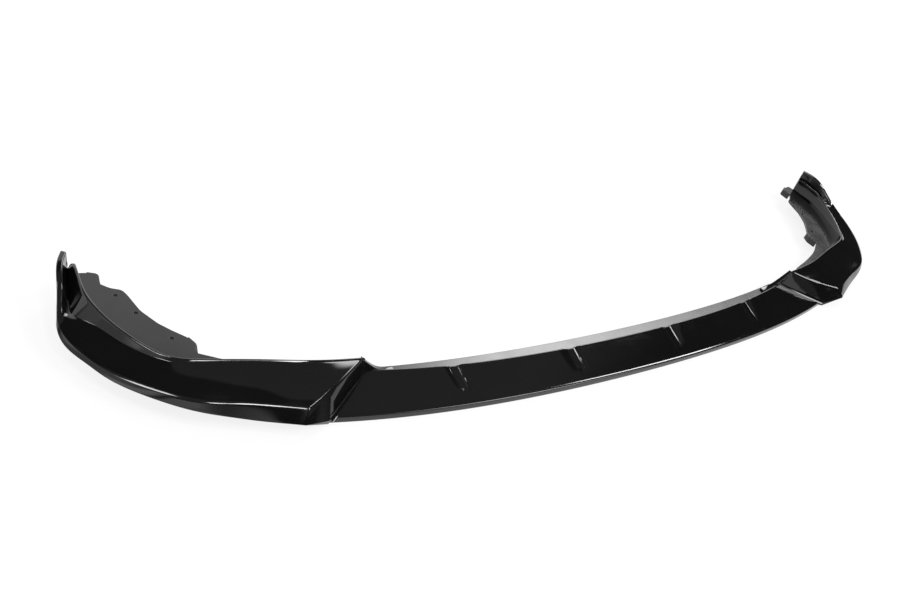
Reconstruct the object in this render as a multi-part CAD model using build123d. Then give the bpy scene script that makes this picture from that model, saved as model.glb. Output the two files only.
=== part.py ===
from build123d import *
import os
from math import hypot

# Front splitter lip for a car, moulded in one piece of gloss black plastic.
# Frame: +X across the car, +Y rearward, +Z up, millimetres; the lower edge of the nose is z = 0.
# The right half is modelled on the +X side and mirrored, then the whole is centred on its own box.

# Wall of the moulding, the same wall where it is cut across a slope, and how far cutters run past a face
WALL = 3.5
SLOPE_WALL = 5.0
FRONT_WALL = 6.0
PAST = 4.0
FAR = 400.0

# Centre, whose lines bow rearward on both sides of the car's middle:
# y at the middle, with the square and fourth-power terms for each 100 mm across
NOSE_LINE = (-49.0, 0.99, 0.013)
BACK_LINE = (16.0, 1.15, 0.0225)
FLANGE_LINE = (45.0, 0.95, 0.012)
CENTRE_STATIONS = (0.0, 150.0, 300.0, 420.0, 500.0, 600.0)
SLOPE_SHARES = (0.0, 0.33, 0.67)
SLOPE_SHIFT = 1.8
NOSE_HEIGHT = 11.0
NOSE_BEVEL_DEPTH = 5.0
BEVEL_TOP = 13.0
BACK_TOP = 29.0
BACK_ROUND = 2.0
REAR_FLANGE_TOP = 15.0

# Flow channels in the centre's slope, each between two fine beads, with flanks that widen rearward
CHANNEL_INSIDES = (114.0, 353.0)
CHANNEL_FLOOR = 15.0
CHANNEL_SHARES = (0.28, 0.66, 1.06)
CHANNEL_DEPTHS = (0.1, 1.6, 3.2)
OUTER_FLANKS = (0.5, 5.0, 12.0)
INNER_FLANKS = (0.3, 2.0, 8.0)
BEAD_RADIUS = 1.2
BEAD_SINK = 0.4
PAD_MARGIN = 4.0

# Corner stations from the step to the tip of the end blade: ridge, crest,
# crease (outward of the crest, height), sag of the face, width of the ridge's top,
# lower edge (outward of the ridge, height)
STATIONS = (
    ((638, 4, 40), (521, 61, 59), (3, 56), 3.0, 4, (22, 25)),
    ((689, 22, 42), (600, 70, 64), (3, 61), 3.5, 4, (16, 24)),
    ((735, 38, 43), (672, 92, 61), (3, 58), 3.5, 4, (11, 27)),
    ((784, 55, 44), (736, 111, 58), (3, 55), 2.5, 4, (6, 32)),
    ((829, 90, 42), (786, 128, 57), (3, 53), 1.0, 4, (7, 34)),
    ((864, 128, 39), (811, 152, 55), (5, 49), 0.0, 4, (7, 33)),
    ((889, 168, 38), (835, 190, 56), (7, 46), 0.0, 5, (5, 33)),
    ((906, 212, 39), (853, 230, 57), (13, 45), 0.0, 6, (6, 34)),
    ((909, 244, 45), (862, 258, 60), (23, 43), 0.0, 8, (1, 38)),
    ((902, 274, 60), (865, 282, 62), (16, 38), 0.0, 9, (-4, 38)),
    ((895, 305, 74), (863, 311, 62), (11, 41), 0.0, 9, (-6, 40)),
    ((888, 326, 77), (862, 324, 62), (8, 43), 0.0, 9, (-5, 41)),
    ((877, 346, 77), (860, 335, 60), (5, 46), 0.0, 8, (-4, 42)),
)
RIDGE_RISE = 2.0
BLADE_WIDTH = 8
BLADE_ROOT = 40.0
CREST_HALF = 3.0
CREST_DROP = 1.8
INNER_DRAFT = 3.0
EDGE_RISE = 1.5

# Step from a raised corner down to the centre
STEP_SPLIT = 44.0
STEP_FOOT_BACK = (508.0, 60.0, 27.0)
STEP_FOOT_FRONT = (600.0, -3.0, 12.0)
STEP_TOE = (646.0, -11.0, 26.0)
STEP_NOTCH = 5.0
STEP_SHARES = (0.07, 0.72)

# Level screw flange inside each corner, turned down at its two ends
FLANGE_TOP = 31.0
WALL_LINE = 2.8
FLANGE_EDGE = (
    (853, 345), (837, 343), (823, 337), (827, 317), (815, 305), (800, 298), (796, 287),
    (789, 251), (774, 221), (760, 203), (743, 184), (737, 169), (742, 152),
)
RETURN_EDGE = ((700, 125), (650, 106), (596, 90))
FLANGE_ROUND = 3.0
HOLES = ((813, 288), (797, 247), (766, 187))
HOLE_RADIUS = 2.75
BOSS_RADIUS = 5.0
BOSS_DEPTH = 7.0
SKIRT_DEPTH = 14.0
REAR_SKIRT = FLANGE_EDGE[1:4]
FRONT_SKIRT = FLANGE_EDGE[-3:]

# Square-ended tab that runs from the crest's front end down to the centre's rear flange
TAB_TOP = ((523, 57), (501, 37), (479, 23), (457, 19))
TAB_FRONT = 58.0
TAB_WIDTH = 9.0


def inward(station):
    """Unit direction in plan from a station's ridge to its crest, and the distance between them."""
    ridge, crest = station[0], station[1]
    dx, dy = crest[0] - ridge[0], crest[1] - ridge[1]
    reach = hypot(dx, dy)
    return dx / reach, dy / reach, reach


def station_plane(station):
    """Upright plane through the ridge and the crest: x inward, y up."""
    dx, dy, _ = inward(station)
    return Plane(origin=(station[0][0], station[0][1], 0), x_dir=(dx, dy, 0), z_dir=(dy, -dx, 0))


def behind_crest(station, distance):
    """Plan point a distance inward of the crest."""
    dx, dy, _ = inward(station)
    return station[1][0] + distance * dx, station[1][1] + distance * dy


def skin_points(station):
    """Outside of a corner, from its lower edge over ridge, face and crest to the inner foot."""
    ridge, crest, (out, crease), sag, top, (flare, edge) = station
    reach = inward(station)[2]
    shoulder = (top, ridge[2] + (0 if top >= BLADE_WIDTH else RIDGE_RISE))
    fold = (reach - CREST_HALF - out, crease)
    middle = ((shoulder[0] + fold[0]) / 2, (shoulder[1] + fold[1]) / 2 - sag)
    return [
        (-flare, edge),
        (0, ridge[2]),
        shoulder,
        middle,
        fold,
        (reach - CREST_HALF, crest[2] - CREST_DROP),
        (reach, crest[2]),
        (reach + CREST_HALF, crest[2] - CREST_DROP),
        (reach + CREST_HALF + INNER_DRAFT / 2, FLANGE_TOP - WALL),
    ]


def hollow_points(station):
    """Hollow under a corner, one wall inside the skin, open below and open inward under the flange."""
    ridge, _, (out, crease), sag, _, (flare, edge) = station
    reach = inward(station)[2]
    fold = (reach - CREST_HALF - out, crease - SLOPE_WALL)
    under = min(min(ridge[2], BLADE_ROOT) - SLOPE_WALL, fold[1])
    shoulder = (FRONT_WALL + max(-flare, 0), max(under, edge + 2 * EDGE_RISE))
    middle = ((shoulder[0] + fold[0]) / 2, (shoulder[1] + fold[1]) / 2 - sag)
    wall, clear = reach + CREST_HALF - WALL, reach + CREST_HALF + INNER_DRAFT + PAST
    return [
        (FRONT_WALL - flare, -PAST),
        (FRONT_WALL - flare, edge + EDGE_RISE),
        shoulder,
        middle,
        fold,
        (wall, fold[1]),
        (wall + INNER_DRAFT / 2, FLANGE_TOP - WALL),
        (clear, FLANGE_TOP - WALL),
        (clear, -PAST),
    ]


def placed(plane, points):
    """Points of an upright section, as places in the part's frame."""
    return [plane.from_local_coords(Vector(*point, 0)) for point in points]


def skinned(outlines):
    """Solid through equal outlines, with smooth lengthwise edges and a ruled strip between each two."""
    rails = [Edge.make_spline(list(rail)) for rail in zip(*outlines)]
    strips = [Face.make_surface_from_curves(one, other) for one, other in zip(rails, rails[1:] + rails[:1])]
    caps = [Face(Wire.make_polygon(end, close=True)) for end in (outlines[0], outlines[-1])]
    return Solid(Shell(strips + caps))


def prism(outline, bottom, top):
    """Upright solid over a plan outline."""
    return Pos(0, 0, bottom) * extrude(outline, amount=top - bottom)


def corner_shell():
    """Hollow corner from the step to the tip of the end blade, which is solid."""
    skin = skinned([placed(station_plane(s), skin_points(s)) for s in STATIONS])
    first = placed(station_plane(STATIONS[0]).offset(WALL), hollow_points(STATIONS[0]))
    rest = [placed(station_plane(s), hollow_points(s)) for s in STATIONS[1:-2]]
    return skin - skinned([first] + rest)


def step_wedge():
    """Facets from the corner's first station to the centre: a wall facing inward and a front triangle."""
    first = STATIONS[0]
    plane = station_plane(first)
    lower, ridge, shoulder, middle, fold, _, crest, _, foot = skin_points(first)
    share = (STEP_SPLIT - shoulder[0]) / (middle[0] - shoulder[0])
    split = (STEP_SPLIT, shoulder[1] + share * (middle[1] - shoulder[1]))
    spine = [lower, ridge, shoulder, split, middle, fold, crest, foot]
    low, rdg, shd, spl, mid, fld, crs, fot = placed(plane, spine)
    back, front, toe = Vector(*STEP_FOOT_BACK), Vector(*STEP_FOOT_FRONT), Vector(*STEP_TOE)
    back_low, front_low = Vector(back.X, back.Y, 0), Vector(front.X, front.Y, STEP_NOTCH)
    near, far = [back + (front - back) * share for share in STEP_SHARES]
    sides = [
        (low, rdg, shd, spl, mid, fld, crs, fot),
        (crs, back, near), (crs, near, fld), (fld, near, far), (fld, far, mid),
        (mid, far, front), (mid, front, spl),
        (spl, front, toe), (spl, toe, rdg), (spl, rdg, shd), (rdg, toe, low),
        (crs, fot, back), (fot, back_low, back),
        (back, back_low, front_low, front, far, near), (front, front_low, toe),
        (low, toe, front_low), (low, front_low, back_low), (low, back_low, fot),
    ]
    return Solid(Shell([Face(Wire.make_polygon(side, close=True)) for side in sides]))


def bowed(line, x):
    """Y of one of the centre's lines at a distance from the car's middle."""
    start, square, fourth = line
    return start + square * (x / 100) ** 2 + fourth * (x / 100) ** 4


def slope_point(x, share):
    """Y and height on the centre's slope at a share of the way from its bevel to its back edge."""
    start, end = bowed(NOSE_LINE, x) + NOSE_BEVEL_DEPTH, bowed(BACK_LINE, x)
    return start + share * (end - start), BEVEL_TOP + (BACK_TOP - BEVEL_TOP) * share ** 2


def centre_outline(x):
    """Section of the centre: nose, bevel, slope, back edge, rear flange, and the inside one wall below."""
    nose, back, edge = bowed(NOSE_LINE, x), bowed(BACK_LINE, x), bowed(FLANGE_LINE, x)
    slope = [slope_point(x, share) for share in SLOPE_SHARES]
    root = back + BACK_ROUND
    outside = [(nose, 0), (nose, NOSE_HEIGHT)] + slope + [
        (back, BACK_TOP),
        (root, BACK_TOP - BACK_ROUND),
        (root, REAR_FLANGE_TOP),
        (edge, REAR_FLANGE_TOP),
        (edge, REAR_FLANGE_TOP - WALL),
        (root - WALL, REAR_FLANGE_TOP - WALL),
        (root - WALL, BACK_TOP - 2 * WALL),
    ]
    inside = [(y + SLOPE_SHIFT, z - WALL) for y, z in reversed(slope)]
    inside += [(nose + WALL, NOSE_HEIGHT - WALL), (nose + WALL, 0)]
    return [Vector(x, y, z) for y, z in outside + inside]


def channel_cut(inner, row):
    """Section of what a flow channel takes out of the slope, at one of its three shares."""
    outer = inner + CHANNEL_FLOOR
    y, surface = slope_point((inner + outer) / 2, CHANNEL_SHARES[row])
    floor, top = surface - CHANNEL_DEPTHS[row], BACK_TOP + 2 * PAST
    left, right = inner - INNER_FLANKS[row], outer + OUTER_FLANKS[row]
    corners = [(left, surface), (inner, floor), (outer, floor), (right, surface), (right, top), (left, top)]
    return [Vector(x, y, z) for x, z in corners]


def channel_pad(inner, row):
    """Section of the thickening that keeps a full wall below a flow channel."""
    _, low, far, _, _, _ = channel_cut(inner, row)
    left, right = low.X - PAD_MARGIN, far.X + PAD_MARGIN
    corners = [(left, low.Z - WALL), (right, low.Z - WALL), (right, low.Z), (left, low.Z)]
    return [Vector(x, low.Y, z) for x, z in corners]


def channel_bead(inner, side):
    """Fine round bead along one side of a channel's floor."""
    path = Spline(*[channel_cut(inner, row)[side] - Vector(0, 0, BEAD_SINK) for row in range(3)])
    return sweep(Plane(path @ 0, z_dir=path % 0) * Circle(BEAD_RADIUS), path)


def centre_bar():
    """Half of the centre, from the car's middle to the step, with its flow channels."""
    bar = skinned([centre_outline(x) for x in CENTRE_STATIONS])
    beyond = station_plane(STATIONS[0]).offset(WALL / 2)
    bar -= beyond * extrude(Rectangle(FAR, FAR), amount=FAR)
    for inner in CHANNEL_INSIDES:
        bar += skinned([channel_pad(inner, row) for row in range(3)])
        bar -= skinned([channel_cut(inner, row) for row in range(3)])
        bar += channel_bead(inner, 1)
        bar += channel_bead(inner, 2)
    return bar


def wall_curve(stations, distance):
    """Plan curve that keeps a distance inward of the crest."""
    return Spline(*[behind_crest(s, distance) for s in stations])


def screw_flange():
    """Level flange with its screw holes, a short boss under each, and turned-down ends."""
    wall = wall_curve(STATIONS[1:], WALL_LINE)
    edge = Polyline(wall @ 1, *FLANGE_EDGE, *RETURN_EDGE, wall @ 0)
    plate = make_face(Curve() + [wall, edge])
    free = [v for v in plate.vertices() if (round(v.X), round(v.Y)) in FLANGE_EDGE[1:]]
    plate = fillet(free, FLANGE_ROUND)
    for hole in HOLES:
        plate -= Pos(*hole) * Circle(HOLE_RADIUS)
    solid = prism(plate, FLANGE_TOP - WALL, FLANGE_TOP)
    for hole in HOLES:
        boss = Pos(*hole) * (Circle(BOSS_RADIUS) - Circle(HOLE_RADIUS))
        solid += prism(boss, FLANGE_TOP - BOSS_DEPTH, FLANGE_TOP - WALL)
    for skirt in (REAR_SKIRT, FRONT_SKIRT):
        solid += prism(trace(Polyline(*skirt), WALL), FLANGE_TOP - SKIRT_DEPTH, FLANGE_TOP)
    return solid


def end_tab():
    """Tab between the crest's front end and the rear flange, its top an ogee."""
    top = Spline(*TAB_TOP)
    low = REAR_FLANGE_TOP - WALL
    inner, outer = (TAB_TOP[-1][0], low), (TAB_TOP[0][0], low)
    side = make_face(Curve() + [top, Polyline(top @ 1, inner, outer, top @ 0)])
    upright = Plane(origin=(0, TAB_FRONT, 0), x_dir=(1, 0, 0), z_dir=(0, -1, 0))
    return upright * extrude(side, amount=-TAB_WIDTH)


half = corner_shell() + step_wedge() + centre_bar() + screw_flange() + end_tab()
lip = half + mirror(half, about=Plane.YZ)
box = lip.bounding_box()
lip = Pos(0, -(box.min.Y + box.max.Y) / 2, -box.min.Z) * lip

os.makedirs("parts", exist_ok=True)
export_step(lip, "parts/splitter_lip.step")
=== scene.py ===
import math

import bmesh
import bpy
import numpy as np
from mathutils import Matrix, Vector


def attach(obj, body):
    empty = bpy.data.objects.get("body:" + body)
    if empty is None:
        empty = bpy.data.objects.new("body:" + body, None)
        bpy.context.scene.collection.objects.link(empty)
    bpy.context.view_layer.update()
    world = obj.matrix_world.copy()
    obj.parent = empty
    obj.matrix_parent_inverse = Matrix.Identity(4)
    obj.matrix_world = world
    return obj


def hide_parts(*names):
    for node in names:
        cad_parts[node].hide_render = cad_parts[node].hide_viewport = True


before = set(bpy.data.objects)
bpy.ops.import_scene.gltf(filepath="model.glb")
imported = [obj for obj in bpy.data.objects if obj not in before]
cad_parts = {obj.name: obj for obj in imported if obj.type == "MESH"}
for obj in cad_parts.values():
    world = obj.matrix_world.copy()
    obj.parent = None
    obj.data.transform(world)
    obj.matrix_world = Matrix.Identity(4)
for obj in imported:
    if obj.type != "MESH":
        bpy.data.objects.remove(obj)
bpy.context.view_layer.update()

# The lip's dimensions in millimetres, for the right half before it is centred on its box
MM = 0.001
BOX_MIDDLE_Y = 148.5
WALL = 3.5
SLOPE_WALL = 5.0
FRONT_WALL = 6.0

# Centre's lines: y at the car's middle, with the square and fourth-power terms for each 100 mm across
NOSE_LINE = (-49.0, 0.99, 0.013)
BACK_LINE = (16.0, 1.15, 0.0225)
FLANGE_LINE = (45.0, 0.95, 0.012)
NOSE_HEIGHT = 11.0
NOSE_BEVEL_DEPTH = 5.0
BEVEL_TOP = 13.0
BACK_TOP = 29.0
BACK_ROUND = 2.0
REAR_FLANGE_TOP = 15.0
SLOPE_SHIFT = 1.8
UNDER_SHARES = (0.85, 0.67, 0.5, 0.33, 0.15, 0.0)

# Flow channels, each between two roof-shaped beads that start at a share of the slope
CHANNEL_INSIDES = (114.0, 353.0)
CHANNEL_FLOOR = 15.0
CHANNEL_SHARES = (0.28, 0.66, 1.06)
CHANNEL_DEPTHS = (0.0, 1.6, 3.2)
OUTER_FLANKS = (1.8, 5.0, 12.0)
INNER_FLANKS = (1.8, 2.4, 8.0)
BEAD_HALF = 1.3
BEAD_HEIGHT = 0.9
BEAD_START = 0.26
BEAD_RUN_IN = 0.1
BEAD_POWER = 1.2
BEAD_PLACES = (-0.6, 0.0, 0.6, 1.0)

# Corner stations from the step to the tip of the end blade: ridge, crest,
# crease (outward of the crest, height), sag of the face, width of the ridge's top,
# lower edge (outward of the ridge, height)
STATIONS = (
    ((638, 4, 40), (521, 61, 59), (3, 56), 3.0, 4, (22, 25)),
    ((689, 22, 42), (600, 70, 64), (3, 61), 3.5, 4, (16, 24)),
    ((735, 38, 43), (672, 92, 61), (3, 58), 3.5, 4, (11, 27)),
    ((784, 55, 44), (736, 111, 58), (3, 55), 2.5, 4, (6, 32)),
    ((829, 90, 42), (786, 128, 57), (3, 53), 1.0, 4, (7, 34)),
    ((864, 128, 39), (811, 152, 55), (5, 49), 0.0, 4, (7, 33)),
    ((889, 168, 38), (835, 190, 56), (7, 46), 0.0, 5, (5, 33)),
    ((906, 212, 39), (853, 230, 57), (13, 45), 0.0, 6, (6, 34)),
    ((909, 244, 45), (862, 258, 60), (23, 43), 0.0, 8, (1, 38)),
    ((902, 274, 60), (865, 282, 62), (16, 38), 0.0, 9, (-4, 38)),
    ((895, 305, 74), (863, 311, 62), (11, 41), 0.0, 9, (-6, 40)),
    ((888, 326, 77), (862, 324, 62), (8, 43), 0.0, 9, (-5, 41)),
    ((877, 346, 77), (860, 335, 60), (5, 46), 0.0, 8, (-4, 42)),
)
RIDGE_RISE = 2.0
BLADE_WIDTH = 8
BLADE_ROOT = 40.0
CREST_HALF = 3.0
CREST_DROP = 1.8
INNER_DRAFT = 13.0

# Step from a raised corner down to the centre, with a hollow fillet along its foot
STEP_SPLIT = 44.0
STEP_FOOT_BACK = (508.0, 60.0, 27.0)
STEP_FOOT_FRONT = (600.0, -3.0, 12.0)
STEP_TOE = (646.0, -11.0, 26.0)
STEP_NOTCH = 5.0
STEP_UPPER = 30.0
STEP_NEAR, STEP_FAR = 440.0, 660.0
FILLET_SIZE = 5.0
FILLET_LOW = (1.0, -0.42)
FILLET_HIGH = (-0.40, 0.915)
FILLET_SINK = 2.0
FILLET_SAG = 0.6
FILLET_ENDS = (0.02, 0.97)

# Level screw flange inside each corner, turned down at its two ends
FLANGE_TOP = 31.0
WALL_LINE = 2.8
FLANGE_EDGE = (
    (853, 345), (837, 343), (823, 337), (827, 317), (815, 305), (800, 298), (796, 287),
    (789, 251), (774, 221), (760, 203), (743, 184), (737, 169), (742, 152),
)
RETURN_EDGE = ((700, 125), (650, 106), (596, 90))
FLANGE_ROUND = 4.8
FLANGE_END_ROUND = 2
RETURN_ROUNDS = (3, 20, 20)
HOLES = ((813, 288), (797, 247), (766, 187))
HOLE_RADIUS = 2.75
BOSS_RADIUS = 5.0
BOSS_DEPTH = 7.0
BOSS_OVERLAP = 0.5
BOSS_BEVEL = 0.2
SKIRT_DEPTH = 14.0
SKIRT_SINK = 0.05

# Square-ended tab beside the step
TAB_TOP = ((523, 57), (501, 37), (479, 23), (457, 19))
TAB_FRONT = 58.0
TAB_WIDTH = 9.0
TAB_BEVEL = 0.8

# Bend of the centre's slope, and bulge of the corner's lower band for each millimetre of its flare
SLOPE_BEND = 0.35
BAND_BULGE = 0.03
BAND_SHARES = (0.2, 0.4, 0.6, 0.8)

# How far from its corner each edge starts to round
EDGE_ROUND = 4.5
LOWER_ROUND, RIDGE_ROUND, SHOULDER_ROUND = 1.2, 2.2, 2.0
CREASE_ROUND, CREST_SIDE_ROUND, CREST_ROUND = 1.5, 1.5, 1.8
WALL_ROUND, FOOT_ROUND = 2.0, 1.0
HOLLOW_ROUND, HOLLOW_FRONT_ROUND = 2.0, 1.0
NOSE_ROUNDS = (0.8, 1.2, 1.6)
BACK_ROUNDS = (1.4, 1.2)
REAR_FLANGE_ROUNDS = (1.4, 1.0, 1.0)
TIP_ROUND = 1.2
TIP_SHARES = (0.4, 0.75, 1.0)

# How finely the surfaces are divided
STEPS_PER_STATION = 14
FACE_STEPS = 9
SLOPE_STEPS = 25
ROUND_STEPS = 5
HOLLOW_STEPS = 4
CIRCLE_STEPS = 24
FILLET_STEPS = (12, 24)
PLAIN_STEPS, FLANK_STEPS, FLOOR_STEPS = 14, 3, 2
OUTER_STEPS, STEP_STEPS, HALVINGS = 6, 16, 24
PLAN_STEPS, WALL_STEPS, TAB_STEPS = 6, 90, 30


def spline(knots, values, at):
    """Natural cubic curve through the values, read at the given places."""
    knots, values, at = np.asarray(knots, float), np.asarray(values, float), np.asarray(at, float)
    flat = values.reshape(len(knots), -1)
    n, gap = len(knots), np.diff(knots)
    grid, right = np.eye(n), np.zeros((n, flat.shape[1]))
    for i in range(1, n - 1):
        grid[i, i - 1:i + 2] = gap[i - 1], 2 * (gap[i - 1] + gap[i]), gap[i]
        right[i] = 6 * ((flat[i + 1] - flat[i]) / gap[i] - (flat[i] - flat[i - 1]) / gap[i - 1])
    bend = np.linalg.solve(grid, right)
    i = np.clip(np.searchsorted(knots, at, side="right") - 1, 0, n - 2)
    h = gap[i][:, None]
    a, b = (knots[i + 1] - at)[:, None] / h, (at - knots[i])[:, None] / h
    out = a * flat[i] + b * flat[i + 1] + ((a ** 3 - a) * bend[i] + (b ** 3 - b) * bend[i + 1]) * h ** 2 / 6
    return out.reshape((len(at),) + values.shape[1:])


def lengths(points):
    """Distance of each point from the first, along the line of points."""
    return np.concatenate([[0], np.cumsum(np.linalg.norm(np.diff(points, axis=0), axis=1))])


def rounded(points, radii, steps):
    """Open line whose corners are rounded, with the same number of points whatever its size."""
    pts = [np.asarray(p, float) for p in points]
    out = []
    for i, p in enumerate(pts):
        if radii[i] <= 0:
            out.append(p)
            continue
        before, after = pts[i - 1] - p, pts[i + 1] - p
        reach = min(radii[i], 0.45 * np.linalg.norm(before), 0.45 * np.linalg.norm(after))
        one = p + before / np.linalg.norm(before) * reach
        two = p + after / np.linalg.norm(after) * reach
        for t in np.linspace(0, 1, steps):
            out.append((1 - t) ** 2 * one + 2 * t * (1 - t) * p + t * t * two)
    return np.array(out)


def inward(station):
    ridge, crest = station[0], station[1]
    dx, dy = crest[0] - ridge[0], crest[1] - ridge[1]
    reach = math.hypot(dx, dy)
    return dx / reach, dy / reach, reach


def placed(station, points):
    """Section points (inward, up) as places in the half's frame."""
    dx, dy, _ = inward(station)
    x0, y0 = station[0][0], station[0][1]
    return np.array([(x0 + p[0] * dx, y0 + p[0] * dy, p[1]) for p in points])


def outer_chain(station):
    """Outside of a corner from its lower edge to its inner foot, edges rounded."""
    ridge, crest, (out, crease), sag, top, (flare, edge) = station
    reach = inward(station)[2]
    shoulder = np.array((top, ridge[2] + (0 if top >= BLADE_WIDTH else RIDGE_RISE)), float)
    fold = np.array((reach - CREST_HALF - out, crease), float)
    face = []
    for s in np.linspace(0, 1, FACE_STEPS)[1:-1]:
        p = shoulder + s * (fold - shoulder)
        face.append((p[0], p[1] - 4 * sag * s * (1 - s)))
    band = np.array((flare, ridge[2] - edge), float)
    over = np.array((-band[1], band[0])) / np.linalg.norm(band) * BAND_BULGE * max(flare, 0)
    bulge = [np.array((-flare, edge)) + s * band + 4 * s * (1 - s) * over for s in BAND_SHARES]
    head = [(FRONT_WALL - flare, edge), (-flare, edge), *bulge, (0, ridge[2]), shoulder]
    foot = FLANGE_TOP - WALL
    crown = [
        fold,
        (reach - CREST_HALF, crest[2] - CREST_DROP),
        (reach, crest[2]),
        (reach + CREST_HALF, crest[2] - CREST_DROP),
        (reach + CREST_HALF + INNER_DRAFT / 2, foot),
        (reach + CREST_HALF + INNER_DRAFT / 2 - WALL, foot),
    ]
    points = head + face + crown
    radii = [0, LOWER_ROUND] + [0] * len(bulge) + [RIDGE_ROUND, SHOULDER_ROUND] + [0] * len(face)
    radii += [CREASE_ROUND, CREST_SIDE_ROUND, CREST_ROUND, WALL_ROUND, FOOT_ROUND, 0]
    return rounded(points, radii, ROUND_STEPS)


def hollow_chain(station):
    """Hollow under a corner, from its back foot over to its front foot."""
    ridge, _, (out, crease), sag, _, (flare, edge) = station
    reach = inward(station)[2]
    fold = (reach - CREST_HALF - out, crease - SLOPE_WALL)
    under = min(min(ridge[2], BLADE_ROOT) - SLOPE_WALL, fold[1])
    shoulder = (FRONT_WALL + max(-flare, 0), max(under, edge + 3))
    middle = ((shoulder[0] + fold[0]) / 2, (shoulder[1] + fold[1]) / 2 - sag)
    points = [
        (reach + CREST_HALF + INNER_DRAFT / 2 - WALL, FLANGE_TOP - WALL),
        (reach + CREST_HALF - WALL, fold[1]),
        fold,
        middle,
        shoulder,
        (FRONT_WALL - flare, edge),
    ]
    return rounded(points, [0] + [HOLLOW_ROUND] * 3 + [HOLLOW_FRONT_ROUND, 0], HOLLOW_STEPS)


class Builder:
    """Collects points and faces of the half, in millimetres."""

    def __init__(self):
        self.points, self.faces, self.kinds = [], [], []

    def add(self, rows):
        start = len(self.points)
        rows = np.asarray(rows, float)
        self.points.extend(rows.reshape(-1, 3).tolist())
        return np.arange(start, start + rows.reshape(-1, 3).shape[0]).reshape(rows.shape[:-1])

    def face(self, *corners, kind=0):
        corners = [int(c) for c in corners]
        kept = [c for i, c in enumerate(corners) if c != corners[i - 1]]
        if len(kept) > 2:
            self.faces.append(kept)
            self.kinds.append(kind)

    def strip(self, one, two, kind=0):
        for i in range(len(one) - 1):
            self.face(one[i], one[i + 1], two[i + 1], two[i], kind=kind)


def corner(build):
    """Corner with its hollow and the step facets, as one closed skin."""
    mid = np.array([(np.add(s[0], s[1])) / 2 for s in STATIONS])
    knots = lengths(mid)
    fine = np.concatenate([
        np.linspace(a, b, STEPS_PER_STATION, endpoint=False) for a, b in zip(knots, knots[1:])
    ] + [[knots[-1]]])
    rails = spline(knots, [placed(s, outer_chain(s)) for s in STATIONS], fine)
    first, last = 1, (len(STATIONS) - 3) * STEPS_PER_STATION
    cave = spline(knots[:-2], [placed(s, hollow_chain(s)) for s in STATIONS[:-2]], fine[:last + 1])[first:]

    # Step facets: every point of the first section runs to a foot
    n = rails.shape[1]
    start = rails[0]
    heights = start[:, 2]
    dx, dy, reach = inward(STATIONS[0])
    along = (start[:, 0] - STATIONS[0][0][0]) * dx + (start[:, 1] - STATIONS[0][0][1]) * dy
    crest = int(np.argmax(heights))
    split = int(np.argmin(np.abs(along - STEP_SPLIT) + 1000 * (heights < STEP_UPPER)))
    toe, front, back = (np.array(p) for p in (STEP_TOE, STEP_FOOT_FRONT, STEP_FOOT_BACK))
    back_low = back * (1, 1, 0)
    share = np.clip((reach - along) / (reach - STEP_SPLIT), 0, 1)
    wall_feet = back + share[:, None] * (front - back)
    feet = np.array([toe if k <= split else wall_feet[k] if k <= crest else back for k in range(n)])
    feet[-5:] = back_low
    feet[0] = toe
    ahead = rails[1] - start
    ahead /= np.linalg.norm(ahead, axis=1)[:, None]
    down = feet - start
    length = np.linalg.norm(down, axis=1)[:, None]
    down /= length
    size = np.minimum(EDGE_ROUND, 0.3 * length)
    one, two = start + ahead * EDGE_ROUND, start + down * size
    rows = [(1 - t) ** 2 * two + 2 * t * (1 - t) * start + t * t * one for t in np.linspace(0, 1, 5)]
    skin = build.add(np.concatenate([np.array(rows), rails[1:]]))
    shift = len(rows) - 1
    for i in range(len(skin) - 1):
        build.strip(skin[i + 1], skin[i])

    edge = skin[0]
    front_low = np.array((front[0], front[1], STEP_NOTCH))
    corners = build.add([toe, front, back, back_low, front_low])
    p_toe, p_front, p_back, p_back_low, p_front_low = corners.tolist()
    foot_line = build.add(wall_feet[split + 1:crest])
    ends = [p_toe] * (split + 1) + foot_line.tolist() + [p_back] * (n - crest)
    for k in range(n - 5, n):
        ends[k] = p_back_low
    for k in range(n - 1):
        if k != split:
            build.face(edge[k + 1], edge[k], ends[k], ends[k + 1])
    build.face(edge[split], p_toe, p_front)
    build.face(edge[split + 1], edge[split], p_front, foot_line[0])
    build.face(*foot_line.tolist(), p_back, p_back_low, p_front_low, p_front)
    build.face(p_front, p_front_low, p_toe)
    build.face(edge[0], p_front_low, p_toe)
    build.face(edge[0], p_back_low, p_front_low)
    build.face(edge[0], edge[-1], p_back_low)

    # Underside: open below the hollow, closed before and after it
    hole = build.add(cave)
    hole_rows = {first + shift + i: hole[i] for i in range(len(hole))}
    lo, hi = first + shift, first + shift + len(hole) - 1
    for i in range(len(skin) - 1):
        a, b = skin[i], skin[i + 1]
        if lo <= i < hi:
            c, d = hole_rows[i], hole_rows[i + 1]
            build.strip(c, d)
            build.face(a[-1], c[0], d[0], b[-1])
            build.face(c[-1], a[0], b[0], d[-1])
        else:
            build.face(a[-1], a[0], b[0], b[-1])
    build.face(skin[lo][-1], skin[lo][0], *reversed(hole_rows[lo].tolist()))
    build.face(skin[hi][0], skin[hi][-1], *hole_rows[hi].tolist())

    # Rounded tip of the blade
    tip, before = rails[-1], rails[-2]
    heading = tip.mean(0) - before.mean(0)
    heading /= np.linalg.norm(heading)
    middle = tip.mean(0)
    previous = skin[-1]
    for t in TIP_SHARES:
        lift = TIP_ROUND * math.sin(t * math.pi / 2)
        pull = TIP_ROUND * (1 - math.cos(t * math.pi / 2))
        toward = middle - tip
        size = np.linalg.norm(toward, axis=1)[:, None]
        row = tip + toward / size * pull - heading * (TIP_ROUND - lift)
        ring = build.add(row)
        build.strip(ring, previous)
        build.face(previous[-1], previous[0], ring[0], ring[-1])
        previous = ring
    build.face(*previous.tolist())


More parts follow.
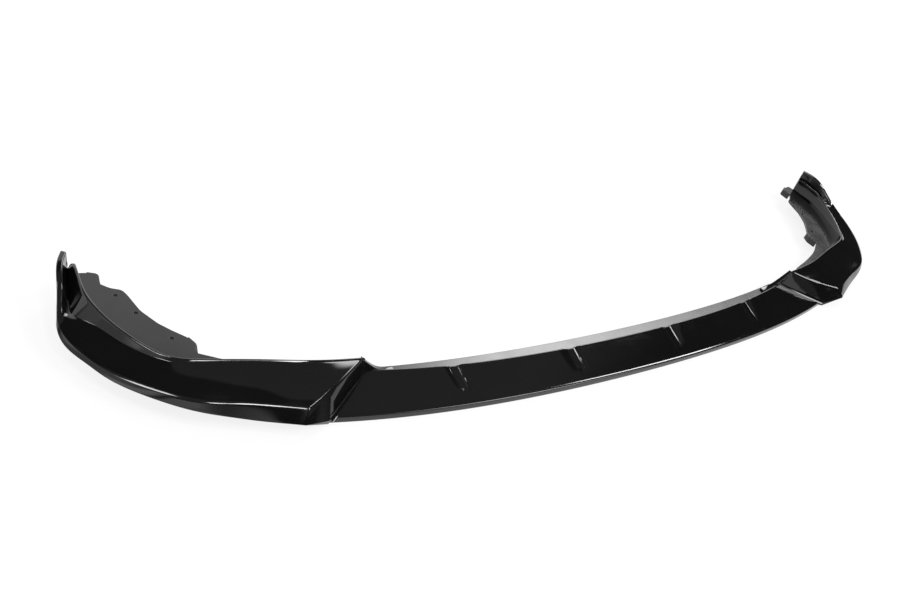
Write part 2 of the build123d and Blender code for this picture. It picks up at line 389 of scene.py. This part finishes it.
def bowed(line, x):
    start, square, fourth = line
    return start + square * (x / 100) ** 2 + fourth * (x / 100) ** 4


def slope_point(x, share):
    start, end = bowed(NOSE_LINE, x) + NOSE_BEVEL_DEPTH, bowed(BACK_LINE, x)
    rise = (1 - SLOPE_BEND) * share + SLOPE_BEND * share ** 2
    return start + share * (end - start), BEVEL_TOP + (BACK_TOP - BEVEL_TOP) * rise


def centre_profile(x):
    """Section of the centre as rows of y, z and share along the slope, which is -1 on the rear flange."""
    nose, back, edge = bowed(NOSE_LINE, x), bowed(BACK_LINE, x), bowed(FLANGE_LINE, x)
    root = back + BACK_ROUND
    shares = np.linspace(0, 1, SLOPE_STEPS)
    slope = [slope_point(x, s) for s in shares]
    rows = []

    def run(points, radii, share):
        for y, z in rounded(points, [0, *radii, 0], ROUND_STEPS)[1:-1]:
            rows.append((y, z, share))

    run([(nose + WALL, 0), (nose, 0), (nose, NOSE_HEIGHT), slope[0], slope[3]], NOSE_ROUNDS, 0.0)
    for s, (y, z) in zip(shares[2:-2], slope[2:-2]):
        rows.append((y, z, s))
    run([slope[-3], slope[-1], (root, BACK_TOP - BACK_ROUND), (root, REAR_FLANGE_TOP)], BACK_ROUNDS, 1.0)
    low = REAR_FLANGE_TOP - WALL
    run([(root, BACK_TOP - BACK_ROUND), (root, REAR_FLANGE_TOP), (edge, REAR_FLANGE_TOP), (edge, low),
         (root - WALL, low), (root - WALL, BACK_TOP - 2 * WALL)], [*REAR_FLANGE_ROUNDS, 0], -1.0)
    rows.append((root - WALL, BACK_TOP - 2 * WALL, 1.0))
    for s in UNDER_SHARES:
        y, z = slope_point(x, s)
        rows.append((y + SLOPE_SHIFT, z - WALL, s))
    rows.append((nose + WALL, NOSE_HEIGHT - WALL, 0.0))
    rows.append((nose + WALL, 0, 0.0))
    return rows


def centre(build):
    """Half of the centre with its flow channels, from the car's middle into the step."""
    profile = centre_profile(0.0)
    shares = np.array([max(r[2], 0.0) for r in profile])
    touched = np.array([r[2] >= 0 for r in profile])
    depth = np.interp(shares, (0.0,) + CHANNEL_SHARES, (0.0,) + CHANNEL_DEPTHS) * touched
    inner = np.interp(shares, (0.0,) + CHANNEL_SHARES, (INNER_FLANKS[0],) + INNER_FLANKS)
    outer = np.interp(shares, (0.0,) + CHANNEL_SHARES, (OUTER_FLANKS[0],) + OUTER_FLANKS)
    raised = np.array([r[1] > NOSE_HEIGHT - WALL / 2 for r in profile])
    bead = BEAD_HEIGHT * np.clip((shares - BEAD_START) / BEAD_RUN_IN, 0, 1) * touched * raised

    # Places across the car where each lengthwise line is read, with the channel's depth and bead there
    marks = [(np.zeros_like(shares), np.zeros_like(shares))]

    def go(to, steps, drop):
        x0, d0 = marks[-1]
        for t in np.linspace(0, 1, steps + 1)[1:]:
            marks.append((x0 + t * (to - x0), d0 + t * (drop - d0)))

    for start in CHANNEL_INSIDES:
        none = np.zeros_like(shares)
        go(start - inner, PLAIN_STEPS, none)
        near = (inner - BEAD_HALF) / inner
        go(start - BEAD_HALF, FLOOR_STEPS, depth * near)
        for t in BEAD_PLACES:
            hump = 1 - abs(t) ** BEAD_POWER
            low = depth if t >= 0 else depth * (inner + t * BEAD_HALF) / inner
            go(start + t * BEAD_HALF, 1, low - bead * hump)
        end = start + CHANNEL_FLOOR
        go(end - BEAD_HALF, FLOOR_STEPS, depth)
        for t in BEAD_PLACES:
            hump = 1 - abs(t) ** BEAD_POWER
            low = depth if t <= 0 else depth * (outer - t * BEAD_HALF) / outer
            go(end + t * BEAD_HALF, 1, low - bead * hump)
        go(end + outer, FLANK_STEPS, none)
    go(np.full_like(shares, STEP_NEAR), OUTER_STEPS, np.zeros_like(shares))

    # The lines end in the step, on the plane of the corner's first section
    dx, dy, _ = inward(STATIONS[0])
    rx, ry, _ = STATIONS[0][0]

    def beyond(x):
        pts = [centre_profile(v)[k][0] for k, v in enumerate(x)]
        return dy * (x - rx) - dx * (np.array(pts) - ry) - WALL / 2

    low, high = np.full_like(shares, STEP_NEAR), np.full_like(shares, STEP_FAR)
    sign = np.sign(beyond(low))
    for _ in range(HALVINGS):
        half = (low + high) / 2
        same = np.sign(beyond(half)) == sign
        low, high = np.where(same, half, low), np.where(same, high, half)
    go(low, STEP_STEPS, np.zeros_like(shares))

    rows = []
    for x, drop in marks:
        row = []
        for k, v in enumerate(x):
            y, z, _ = centre_profile(v)[k]
            row.append((v, y, z - drop[k]))
        rows.append(row)
    grid = build.add(np.array(rows))
    flat = [k for k in range(len(profile)) if profile[k][2] < 0]
    for i in range(len(grid) - 1):
        for k in range(grid.shape[1]):
            j = (k + 1) % grid.shape[1]
            kind = 1 if k in flat and j in flat else 0
            build.face(grid[i][k], grid[i][j], grid[i + 1][j], grid[i + 1][k], kind=kind)
    build.face(*grid[-1].tolist())


def extruded(outlines, bottom, top, bevel=0.5):
    """Closed plate over a plan outline, with holes, its edges a little rounded."""
    data = bpy.data.curves.new("plan", "CURVE")
    data.dimensions = "2D"
    data.fill_mode = "BOTH"
    for outline in outlines:
        line = data.splines.new("POLY")
        line.points.add(len(outline) - 1)
        for p, (x, y) in zip(line.points, outline):
            p.co = (x, y, 0, 1)
        line.use_cyclic_u = True
    data.extrude = (top - bottom) / 2 - bevel
    data.bevel_depth = bevel
    data.bevel_resolution = 2
    data.offset = -bevel
    obj = bpy.data.objects.new("plan", data)
    bpy.context.scene.collection.objects.link(obj)
    mesh = bpy.data.meshes.new_from_object(obj.evaluated_get(bpy.context.evaluated_depsgraph_get()))
    bpy.data.objects.remove(obj)
    points = np.zeros(len(mesh.vertices) * 3)
    mesh.vertices.foreach_get("co", points)
    points = points.reshape(-1, 3) + (0, 0, (bottom + top) / 2)
    faces = [list(p.vertices) for p in mesh.polygons]
    bpy.data.meshes.remove(mesh)
    return points, faces


def put(build, solid, kind=0):
    points, faces = solid
    index = build.add(points)
    for f in faces:
        build.face(*[index[v] for v in f], kind=kind)


def behind(station, distance):
    dx, dy, _ = inward(station)
    return station[1][0] + distance * dx, station[1][1] + distance * dy


def wall_curve(stations, distance, count):
    pts = np.array([behind(s, distance) for s in stations])
    knots = lengths(pts)
    return spline(knots, pts, np.linspace(0, knots[-1], count))


def widened(path, width):
    """Closed outline of a wall that follows an open path in plan."""
    path = np.asarray(path, float)
    step = np.gradient(path, axis=0)
    step /= np.linalg.norm(step, axis=1)[:, None]
    side = np.stack([-step[:, 1], step[:, 0]], axis=1) * width / 2
    return np.concatenate([path + side, (path - side)[::-1]])


def circle(middle, radius):
    turn = np.linspace(0, 2 * math.pi, CIRCLE_STEPS, endpoint=False)
    return np.stack([middle[0] + radius * np.cos(turn), middle[1] + radius * np.sin(turn)], axis=1)


def flange(build):
    """Level screw flange with its holes, a short boss under each, turned down at its two ends."""
    wall = wall_curve(STATIONS[1:], WALL_LINE, WALL_STEPS)
    edge = np.array(FLANGE_EDGE + RETURN_EDGE, float)
    radii = [0, FLANGE_END_ROUND] + [FLANGE_ROUND] * (len(FLANGE_EDGE) - 2)
    radii += [*RETURN_ROUNDS, FLANGE_END_ROUND, 0]
    free = rounded(np.concatenate([[wall[-1]], edge, [wall[0]]]), radii, PLAN_STEPS)
    holes = [circle(middle, HOLE_RADIUS) for middle in HOLES]
    put(build, extruded([np.concatenate([wall, free[1:-1]])] + holes, FLANGE_TOP - WALL, FLANGE_TOP))
    boss_top = FLANGE_TOP - WALL + BOSS_OVERLAP
    for middle, hole in zip(HOLES, holes):
        ring = circle(middle, BOSS_RADIUS)
        put(build, extruded([ring, hole], FLANGE_TOP - BOSS_DEPTH, boss_top, BOSS_BEVEL))
    for ends in (FLANGE_EDGE[1:4], FLANGE_EDGE[-3:]):
        skirt = rounded(ends, [0, FLANGE_ROUND, 0], PLAN_STEPS)
        put(build, extruded([widened(skirt, WALL)], FLANGE_TOP - SKIRT_DEPTH, FLANGE_TOP - SKIRT_SINK))


def tab(build):
    """Square-ended tab from the crest's front end down to the rear flange."""
    knots = lengths(TAB_TOP)
    top = spline(knots, TAB_TOP, np.linspace(0, knots[-1], TAB_STEPS))
    low = REAR_FLANGE_TOP - WALL
    outline = np.concatenate([top, [(TAB_TOP[-1][0], low), (TAB_TOP[0][0], low)]])
    points, faces = extruded([outline], 0.0, TAB_WIDTH, TAB_BEVEL)
    turned = np.stack([points[:, 0], TAB_FRONT + points[:, 2], points[:, 1]], axis=1)
    put(build, (turned, faces))


def step_fillet(build):
    """Hollow fillet between the step's wall and the centre."""
    a, b = np.array(STEP_FOOT_BACK), np.array(STEP_FOOT_FRONT)
    axis = (b - a) / np.linalg.norm(b - a)
    up = np.array((0.0, 0.0, 1.0)) - axis * axis[2]
    up /= np.linalg.norm(up)
    out = np.cross(axis, up)
    out *= np.sign(-out[0])
    low, high = FILLET_SIZE * np.array(FILLET_LOW), FILLET_SIZE * np.array(FILLET_HIGH)
    across, lengthwise = FILLET_STEPS
    curve = [(1 - t) ** 2 * low + t * t * high for t in np.linspace(0, 1, across)]
    section = [(-FILLET_SINK, -FILLET_SINK), *curve, (high[0] - FILLET_SINK, high[1])]
    rows = []
    for s in np.linspace(*FILLET_ENDS, lengthwise):
        base = a + s * (b - a)
        sag = FILLET_SAG * 4 * s * (1 - s)
        rows.append([base + out * u + up * (v - sag) for u, v in section])
    grid = build.add(np.array(rows))
    for i in range(len(grid) - 1):
        for k in range(grid.shape[1]):
            j = (k + 1) % grid.shape[1]
            build.face(grid[i][k], grid[i][j], grid[i + 1][j], grid[i + 1][k])
    build.face(*grid[0][::-1].tolist())
    build.face(*grid[-1].tolist())


def to_mesh(name, build, sharp):
    """Both halves of what was collected, as one object in the part's frame."""
    points = np.array(build.points) * MM
    points[:, 1] -= BOX_MIDDLE_Y * MM
    other = points * (-1, 1, 1)
    n = len(points)
    faces = build.faces + [[v + n for v in reversed(f)] for f in build.faces]
    mesh = bpy.data.meshes.new(name)
    mesh.from_pydata(np.concatenate([points, other]).tolist(), [], faces)
    mesh.polygons.foreach_set("material_index", build.kinds + build.kinds)
    work = bmesh.new()
    work.from_mesh(mesh)
    bmesh.ops.remove_doubles(work, verts=work.verts, dist=1e-6)
    bmesh.ops.recalc_face_normals(work, faces=work.faces)
    work.to_mesh(mesh)
    work.free()
    mesh.polygons.foreach_set("use_smooth", [True] * len(mesh.polygons))
    mesh.set_sharp_from_angle(angle=math.radians(sharp))
    obj = bpy.data.objects.new(name, mesh)
    bpy.context.scene.collection.objects.link(obj)
    return obj


# Sizes of the plastic's surface patterns, and the range that a noise mostly stays in
CLOUD_SCALE = 9.0
SMEAR_SCALE = 26.0
NOISE_LOW = 0.3
NOISE_HIGH = 0.7
PLASTIC_IOR = 1.5


def nodes_of(material):
    material.use_nodes = True
    tree = material.node_tree
    return tree, tree.nodes["Principled BSDF"]


def noise(tree, scale, detail):
    coord = tree.nodes.new("ShaderNodeTexCoord")
    node = tree.nodes.new("ShaderNodeTexNoise")
    node.inputs["Scale"].default_value = scale
    node.inputs["Detail"].default_value = detail
    tree.links.new(coord.outputs["Object"], node.inputs["Vector"])
    return node


def spread(tree, source, low, high):
    node = tree.nodes.new("ShaderNodeMapRange")
    node.inputs["From Min"].default_value = NOISE_LOW
    node.inputs["From Max"].default_value = NOISE_HIGH
    node.inputs["To Min"].default_value = low
    node.inputs["To Max"].default_value = high
    tree.links.new(source, node.inputs["Value"])
    return node


def plastic(name, dark, light, smooth, rough, grain_scale, grain_depth):
    """Black moulded plastic: slight colour and roughness variation and a fine surface grain."""
    material = bpy.data.materials.new(name)
    tree, shader = nodes_of(material)
    cloud = noise(tree, CLOUD_SCALE, 3.0)
    tone = tree.nodes.new("ShaderNodeMix")
    tone.data_type = "RGBA"
    tone.inputs["A"].default_value = (*dark, 1)
    tone.inputs["B"].default_value = (*light, 1)
    tree.links.new(cloud.outputs["Fac"], tone.inputs["Factor"])
    tree.links.new(tone.outputs["Result"], shader.inputs["Base Color"])
    smear = noise(tree, SMEAR_SCALE, 4.0)
    polish = spread(tree, smear.outputs["Fac"], smooth, rough)
    tree.links.new(polish.outputs["Result"], shader.inputs["Roughness"])
    grain = noise(tree, grain_scale, 2.0)
    bump = tree.nodes.new("ShaderNodeBump")
    bump.inputs["Strength"].default_value = 1.0
    bump.inputs["Distance"].default_value = grain_depth
    tree.links.new(grain.outputs["Fac"], bump.inputs["Height"])
    tree.links.new(bump.outputs["Normal"], shader.inputs["Normal"])
    shader.inputs["IOR"].default_value = PLASTIC_IOR
    return material


gloss = plastic(
    "gloss_black", dark=(0.003, 0.003, 0.0032), light=(0.005, 0.005, 0.0053),
    smooth=0.05, rough=0.10, grain_scale=160.0, grain_depth=0.000012,
)
satin = plastic(
    "satin_black", dark=(0.004, 0.004, 0.0042), light=(0.007, 0.007, 0.0073),
    smooth=0.12, rough=0.17, grain_scale=700.0, grain_depth=0.00001,
)

# Angles in degrees above which an edge of the mesh is shaded sharp
BODY_SHARP = 32
PLATE_SHARP = 10

body = Builder()
corner(body)
centre(body)
tab(body)
step_fillet(body)
lip = to_mesh("lip_body", body, BODY_SHARP)
lip.data.materials.append(gloss)
lip.data.materials.append(satin)
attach(lip, "root")
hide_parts("splitter_lip")

flanges = Builder()
flange(flanges)
plates = to_mesh("lip_flanges", flanges, PLATE_SHARP)
plates.data.materials.append(satin)
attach(plates, "root")
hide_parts("splitter_lip")

# Floor: white paper that takes the lip's soft shadow, mostly glowing where it is seen or mirrored
FLOOR_HALF = 14
FLOOR_DROP = 0.0005
PAPER_GLOW = 0.85
paper = bpy.data.materials.new("paper")
tree, shader = nodes_of(paper)
shader.inputs["Base Color"].default_value = (0.95, 0.95, 0.95, 1)
shader.inputs["Roughness"].default_value = 0.9
shader.inputs["Specular IOR Level"].default_value = 0.1
seen = tree.nodes.new("ShaderNodeLightPath")
white = tree.nodes.new("ShaderNodeEmission")
blend = tree.nodes.new("ShaderNodeMixShader")
either = seen.outputs["Is Camera Ray"]
for kind in ("Is Glossy Ray", "Is Transmission Ray"):
    most = tree.nodes.new("ShaderNodeMath")
    most.operation = "MAXIMUM"
    tree.links.new(either, most.inputs[0])
    tree.links.new(seen.outputs[kind], most.inputs[1])
    either = most.outputs["Value"]
share = tree.nodes.new("ShaderNodeMath")
share.operation = "MULTIPLY"
share.inputs[1].default_value = PAPER_GLOW
tree.links.new(either, share.inputs[0])
tree.links.new(share.outputs["Value"], blend.inputs["Fac"])
tree.links.new(shader.outputs["BSDF"], blend.inputs[1])
tree.links.new(white.outputs["Emission"], blend.inputs[2])
tree.links.new(blend.outputs["Shader"], tree.nodes["Material Output"].inputs["Surface"])
mesh = bpy.data.meshes.new("floor")
square = [(x * FLOOR_HALF, y * FLOOR_HALF, 0) for x, y in ((-1, -1), (1, -1), (1, 1), (-1, 1))]
mesh.from_pydata(square, [], [(0, 1, 2, 3)])
floor = bpy.data.objects.new("floor", mesh)
floor.location.z = -FLOOR_DROP
floor.data.materials.append(paper)
bpy.context.scene.collection.objects.link(floor)

# World: a dark room with a pale ceiling, a white panel behind the lip and a few narrow lights.
# Azimuths run from +X towards +Y, in degrees.
ROOM_LEVEL = 0.02
world = bpy.data.worlds.new("studio")
bpy.context.scene.world = world
world.use_nodes = True
tree = world.node_tree
sky = tree.nodes["Background"]
sky.inputs["Color"].default_value = (1, 1, 1, 1)
toward = tree.nodes.new("ShaderNodeTexCoord").outputs["Generated"]


def along_axis(axis):
    node = tree.nodes.new("ShaderNodeVectorMath")
    node.operation = "DOT_PRODUCT"
    node.inputs[1].default_value = axis
    tree.links.new(toward, node.inputs[0])
    return node.outputs["Value"]


def step_between(value, low, high):
    node = tree.nodes.new("ShaderNodeMapRange")
    node.interpolation_type = "SMOOTHSTEP"
    node.inputs["From Min"].default_value = low
    node.inputs["From Max"].default_value = high
    tree.links.new(value, node.inputs["Value"])
    return node.outputs["Result"]


def joined(operation, one, two):
    node = tree.nodes.new("ShaderNodeMath")
    node.operation = operation
    for value, socket in ((one, node.inputs[0]), (two, node.inputs[1])):
        if isinstance(value, float):
            socket.default_value = value
        else:
            tree.links.new(value, socket)
    return node.outputs["Value"]


def zone(strength, *limits):
    """Part of the room where every limit (axis, from, to) holds, at one strength."""
    mask = strength
    for axis, low, high in limits:
        mask = joined("MULTIPLY", mask, step_between(along_axis(axis), low, high))
    return mask


def heading(azimuth, height):
    a, h = math.radians(azimuth), math.radians(height)
    return Vector((math.cos(h) * math.cos(a), math.cos(h) * math.sin(a), math.sin(h)))


def light(strength, azimuth, height, half_wide, half_high, soft=0.3):
    """Rectangular light seen from the lip in a direction, its half sizes in degrees."""
    middle = heading(azimuth, height)
    side = heading(azimuth + 90, 0)
    rise = middle.cross(side)
    limits = [(middle, 0.0, 0.1)]
    for axis, half in ((side, half_wide), (rise, half_high)):
        size = math.sin(math.radians(half))
        limits.append((axis, -size * (1 + soft), -size * (1 - soft)))
        limits.append((-axis, -size * (1 + soft), -size * (1 - soft)))
    return zone(strength, *limits)


ceiling = zone(0.19, ((0, 0, 1), 0.67, 0.79), ((0, -1, 0), -0.33, -0.29))
panel = zone(
    1.4, ((-0.36, 0.93, 0), 0.02, 0.20), ((0.94, 0.34, 0), -0.66, -0.46), ((0, 0, -1), -0.745, -0.715)
)
panel_middle = light(8.0, 34, 37.5, 10, 8, 0.3)
bevel_strip = light(26.0, -8.5, 44.0, 1.6, 5.6, 0.15)
bead_lamp = light(18.0, 172, 69, 3.2, 8)
step_box = light(12.0, -40, 43, 9, 10)
ridge_box = light(26.0, -82, 60, 3.4, 8, 0.2)
left_fill = light(0.7, 172, 42, 18, 18, 0.3)
band_left = light(1.8, -160, 36, 12, 7, 0.5)
band_low = light(1.2, -132, 12, 30, 12, 0.4)
front_fill = light(0.2, -62, 8, 34, 13, 0.3)
parts = [
    ceiling, panel, panel_middle, bevel_strip, bead_lamp, step_box,
    ridge_box, left_fill, band_left, band_low, front_fill,
]
total = ROOM_LEVEL
for part in parts:
    total = joined("ADD", total, part)
tree.links.new(total, sky.inputs["Strength"])

# Camera at the photograph's viewing angle, in metres
VIEWPOINT = (-1.2854, -0.9145, 1.0839)
LENS = 40
SENSOR = 36
RIGHT, UP, FORWARD = (0.7974, -0.5118, 0.3198), (0.1426, 0.6747, 0.7242), (0.5864, 0.5319, -0.6109)
view = bpy.data.cameras.new("view")
view.lens = LENS
view.sensor_width = SENSOR
view.sensor_fit = "HORIZONTAL"
camera = bpy.data.objects.new("view", view)
turn = Matrix((RIGHT, UP, tuple(-v for v in FORWARD))).transposed()
camera.matrix_world = Matrix.Translation(VIEWPOINT) @ turn.to_4x4()
bpy.context.scene.collection.objects.link(camera)
bpy.context.scene.camera = camera
bpy.context.scene.view_settings.view_transform = "Standard"
